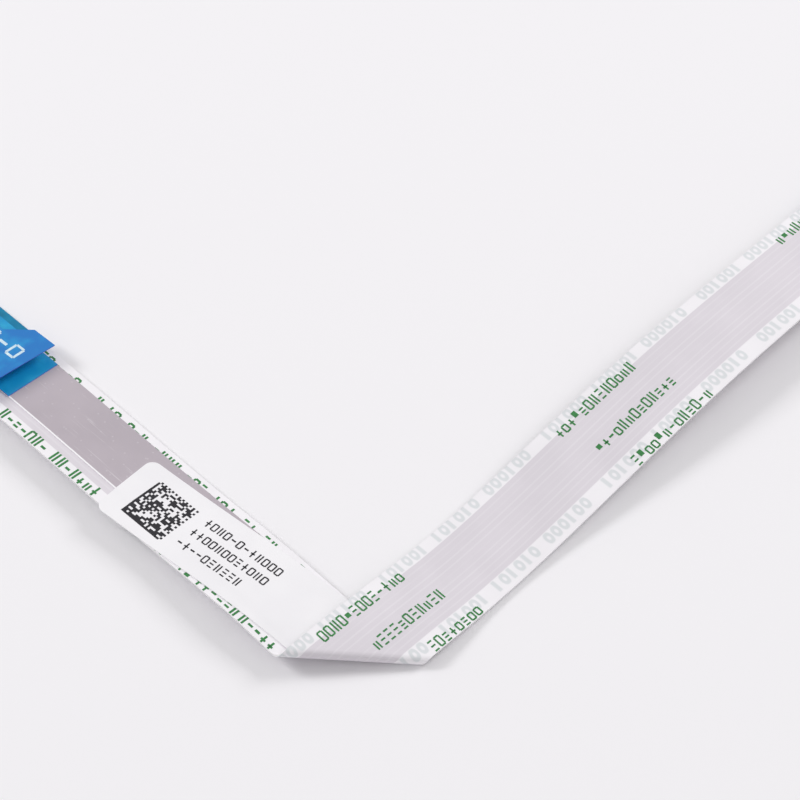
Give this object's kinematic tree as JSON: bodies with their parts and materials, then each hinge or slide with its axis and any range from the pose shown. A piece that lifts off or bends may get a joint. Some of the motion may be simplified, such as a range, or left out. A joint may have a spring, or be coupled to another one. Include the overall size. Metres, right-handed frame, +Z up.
{
  "type": "flat flex cable",
  "caption": "Flat flexible cable folded once into a right angle, with shielding foil, a paper label, stiffened contact tips and blue pull tabs",
  "frame": {"origin": "centre of the footprint, on the surface that the cable lies on", "axes": "+X along the plain arm from the fold to its tip, +Y along the labelled arm from the fold to its tip, +Z up; on the labelled arm the front face is up, and on the plain arm the back face is up"},
  "size_m": [0.0672, 0.0478, 0.0026],
  "materials": {
    "film_front": "milky white polyester film, satin",
    "film_back": "milky white polyester film, satin, conductors showing faintly grey",
    "adhesive": "pale laminating adhesive",
    "conductor": "bright tin plating on flat copper",
    "foil": "dull grey metal foil, finely scratched",
    "label": "smooth white paper with black print",
    "stiffener": "blue polyester, satin",
    "tab": "bright blue polyester tape, satin"
  },
  "bodies": {
    "root": {"front_film": "film_front", "back_film": "film_back", "adhesive": "adhesive", "conductor_01": "conductor", "conductor_02": "conductor", "conductor_03": "conductor", "conductor_04": "conductor", "conductor_05": "conductor", "conductor_06": "conductor", "conductor_07": "conductor", "conductor_08": "conductor", "conductor_09": "conductor", "conductor_10": "conductor", "foil_strip": "foil", "label": "label", "stiffener_a": "stiffener", "stiffener_b": "stiffener", "pull_tab_a": "tab", "pull_tab_b": "tab"}
  },
  "joints": []
}
